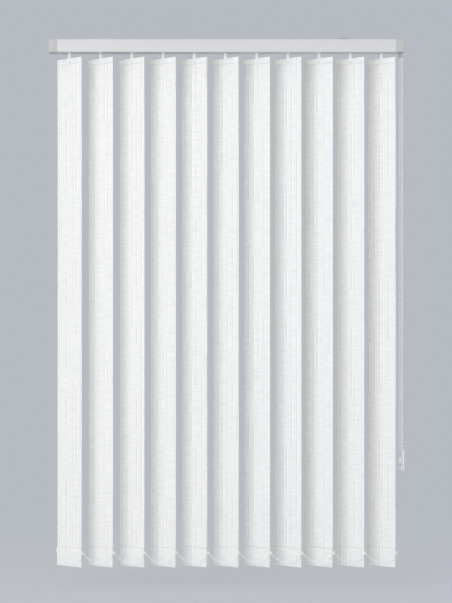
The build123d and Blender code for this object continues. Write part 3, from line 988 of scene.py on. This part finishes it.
def hang_chain(name, controls, body, node, pitch, bead, thread):
    """A bead chain along a smooth route, in place of its node."""
    line = route_points(f"{name}_route", controls)
    mesh = grow(
        name,
        strip_mesh(f"{name}_line", line),
        bpy.data.node_groups.get("Bead chain") or bead_tree(),
        {
            "Bead Spacing": pitch,
            "Bead Radius": bead,
            "Thread Radius": thread,
            "Material": bpy.data.materials[BEAD],
        },
    )
    chain = link_object(name, mesh)
    dress(chain, body, "bead_plastic", node)
    return chain


class BLIND_OT_linking_chains(bpy.types.Operator):
    """Hangs the two chains that link the bottom weights, and the rings on the weights' pins"""

    bl_idname = "blind.linking_chains"
    bl_label = "Linking chains"

    def execute(self, context):
        c = settings("chains")
        # Shares of a span's run and of its sag, from ring to ring
        runs = (0.0, 0.1, 0.32, 0.68, 0.9, 1.0)
        sags = (0.0, 0.42, 1.0, 1.0, 0.42, 0.0)
        start = c.ring / 2
        spans = len(NUMBERS) - 1
        for side, outward in (("front", -1), ("rear", 1)):
            x, y, z = SWIVELS[side]
            # On the outer side of the rings the chain stays clear of the pockets at every tilt
            hang = y + outward * c.outset
            controls = [
                (x + PITCH * k + start + (PITCH - 2 * start) * run, hang, z - c.sag * sag)
                for k in range(spans)
                for run, sag in zip(runs, sags)
            ]
            chain = hang_chain(
                f"{side}_linking_chain",
                controls,
                f"{side}_chain",
                f"{side}_bottom_chain",
                c.link_pitch,
                c.link,
                c.link_thread,
            )
            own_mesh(chain)
        self.make_rings(c)
        return {"FINISHED"}

    def make_rings(self, c):
        """Two rings for each louvre, round the pins of its weight."""
        for number in NUMBERS:
            shape = bmesh.new()
            for x, y, z in SWIVELS.values():
                centre = Vector((x + AXES[number] - AXES[NUMBERS[0]], y, z))
                turn_ring(shape, centre, c.ring, c.ring_hole, c.ring_height)
            name = f"chain_rings_{number}"
            rings = link_object(name, shape_mesh(shape, name, bpy.data.materials[BEAD]))
            dress(rings, f"vane_{number}", "bead_plastic")


def turn_ring(shape, centre, outer, inner, height, count=20):
    """A round ring with softened rims, turned from its section."""
    soft = 0.2 * (outer - inner)
    half = height / 2
    section = [
        (inner, -half + soft),
        (inner + soft, -half),
        (outer - soft, -half),
        (outer, -half + soft),
        (outer, half - soft),
        (outer - soft, half),
        (inner + soft, half),
        (inner, half - soft),
    ]
    loops = []
    for k in range(count):
        out = Vector((*on_circle(1.0, k / count), 0))
        loops.append(
            [shape.verts.new(centre + out * r + Vector((0, 0, z))) for r, z in section]
        )
    faces = []
    for k in range(count):
        a, b = loops[k], loops[(k + 1) % count]
        for i in range(len(section)):
            j = (i + 1) % len(section)
            face = shape.faces.new((a[i], b[i], b[j], a[j]))
            face.smooth = True
            faces.append(face)
    bmesh.ops.recalc_face_normals(shape, faces=faces)


class BLIND_OT_control_chain(bpy.types.Operator):
    """Hangs the bead chain loop from the control cap"""

    bl_idname = "blind.control_chain"
    bl_label = "Control chain"

    def execute(self, context):
        c = settings("chains")
        low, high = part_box("control_chain")
        front_x, rear_x = high.x - c.bead, low.x + c.bead
        front_y, rear_y = low.y + c.bead, high.y - c.bead
        radius = math.hypot(front_x - rear_x, front_y - rear_y) / 2
        turn = low.z + c.bead + radius
        levels = (high.z, turn + radius, turn - radius)
        controls = [(front_x, front_y, z) for z in levels]
        controls += [(rear_x, rear_y, z) for z in reversed(levels)]
        hang_chain(
            "control_bead_chain",
            controls,
            "rail",
            "control_chain",
            c.bead_pitch,
            c.bead,
            c.thread,
        )
        return {"FINISHED"}


def add_lamp(name, place, size, power, aim):
    """A soft square lamp that faces a point."""
    data = bpy.data.lights.new(name, "AREA")
    data.size = size
    data.energy = power
    lamp = link_object(name, data)
    lamp.location = place
    lamp.rotation_euler = (Vector(aim) - Vector(place)).to_track_quat("-Z", "Y").to_euler()


def seen_rays(tree):
    """1 for rays that show the surroundings to the camera, straight, mirrored or let through."""
    path = add_node(tree, "ShaderNodeLightPath").outputs
    past = add_math(tree, "MAXIMUM", path["Is Glossy Ray"], path["Is Transmission Ray"])
    return add_math(tree, "MAXIMUM", path["Is Camera Ray"], past)


class BLIND_OT_stage(bpy.types.Operator):
    """Sets floor, surroundings, lamps and camera"""

    bl_idname = "blind.stage"
    bl_label = "Stage"

    def execute(self, context):
        s = settings("stage")
        scene = context.scene
        scene.view_settings.view_transform = "Standard"
        self.set_camera(scene, s)
        self.make_floor(s)
        self.set_world(scene, s)
        middle = (0, 0, (LOUVRE_TOP + LOUVRE_BOTTOM) / 2)
        for lamp in LAMPS:
            add_lamp(*lamp, aim=middle)
        return {"FINISHED"}

    def set_camera(self, scene, s):
        """The camera is level and looks straight at the blind."""
        data = bpy.data.cameras.new("Camera")
        data.lens = s.lens
        data.shift_y = s.shift
        camera = link_object("Camera", data)
        camera.location = (s.sideways, -s.distance, RAIL_TOP - s.eye_drop)
        camera.rotation_euler = (math.pi / 2, 0, 0)
        scene.camera = camera

    def set_world(self, scene, s):
        """Even light from all round, and a plain colour where the camera sees past the floor."""
        world = bpy.data.worlds.new("Studio")
        world.use_nodes = True
        tree = world.node_tree
        light = tree.nodes["Background"]
        light.inputs[0].default_value = (*s.sky, 1.0)
        light.inputs[1].default_value = s.sky_strength
        seen = add_node(tree, "ShaderNodeBackground", {0: (*s.seen, 1.0), 1: 1.0})
        both = add_node(
            tree,
            "ShaderNodeMixShader",
            {0: seen_rays(tree), 1: light.outputs[0], 2: seen.outputs[0]},
        )
        tree.links.new(both.outputs[0], tree.nodes["World Output"].inputs["Surface"])
        scene.world = world

    def make_floor(self, s):
        """A round pale floor that keeps the blind's shadow and fades into the surroundings."""
        material, tree, shader = new_material("Pale floor")
        shader.inputs["Base Color"].default_value = (*s.pale, 1.0)
        shader.inputs["Roughness"].default_value = 0.9
        place = add_node(tree, "ShaderNodeTexCoord").outputs["Object"]
        flat = add_math(tree, "MULTIPLY", place, (1, 1, 0), kind="ShaderNodeVectorMath")
        away = add_node(tree, "ShaderNodeVectorMath", {0: flat}, operation="LENGTH")
        fade = add_node(
            tree,
            "ShaderNodeMapRange",
            {0: away.outputs["Value"], 1: s.fade_start, 2: s.fade_end, 3: s.seen_share, 4: 1.0},
            interpolation_type="SMOOTHSTEP",
        ).outputs[0]
        glow = add_node(tree, "ShaderNodeEmission", {"Color": (*s.seen, 1.0), "Strength": 1.0})
        seen = add_math(tree, "MULTIPLY", seen_rays(tree), fade)
        both = add_node(
            tree, "ShaderNodeMixShader", {0: seen, 1: shader.outputs[0], 2: glow.outputs[0]}
        )
        tree.links.new(both.outputs[0], tree.nodes["Material Output"].inputs["Surface"])
        shape = bmesh.new()
        bmesh.ops.create_circle(shape, cap_ends=True, radius=s.floor_radius, segments=64)
        for vert in shape.verts:
            vert.co.z = LOUVRE_BOTTOM - s.floor_gap
        link_object("Floor", shape_mesh(shape, "Floor", material))


class BLIND_PT_panel(bpy.types.Panel):
    """The steps that dress the blind"""

    bl_idname = "BLIND_PT_panel"
    bl_label = "Vertical blind"
    bl_space_type = "VIEW_3D"
    bl_region_type = "UI"
    bl_category = "Vertical blind"

    def draw(self, context):
        for operator in OPERATORS:
            self.layout.operator(operator.bl_idname)


GROUPS = {
    "louvres": LouvreSettings,
    "hooks": HookSettings,
    "mouldings": MouldingSettings,
    "chains": ChainSettings,
    "finishes": FinishSettings,
    "stage": StageSettings,
}
OPERATORS = (
    BLIND_OT_finishes,
    BLIND_OT_louvres,
    BLIND_OT_hooks,
    BLIND_OT_mouldings,
    BLIND_OT_linking_chains,
    BLIND_OT_control_chain,
    BLIND_OT_stage,
)


def register():
    for group in GROUPS.values():
        bpy.utils.register_class(group)
    for name, group in GROUPS.items():
        setattr(bpy.types.Scene, BLIND + name, PointerProperty(type=group))
    for operator in OPERATORS:
        bpy.utils.register_class(operator)
    bpy.utils.register_class(BLIND_PT_panel)


def unregister():
    bpy.utils.unregister_class(BLIND_PT_panel)
    for operator in reversed(OPERATORS):
        bpy.utils.unregister_class(operator)
    for name in GROUPS:
        delattr(bpy.types.Scene, BLIND + name)
    for group in reversed(list(GROUPS.values())):
        bpy.utils.unregister_class(group)


def main():
    register()
    bpy.ops.blind.finishes()
    bpy.ops.blind.louvres()
    bpy.ops.blind.hooks()
    bpy.ops.blind.mouldings()
    bpy.ops.blind.linking_chains()
    bpy.ops.blind.control_chain()
    bpy.ops.blind.stage()


if __name__ == "__main__":
    main()
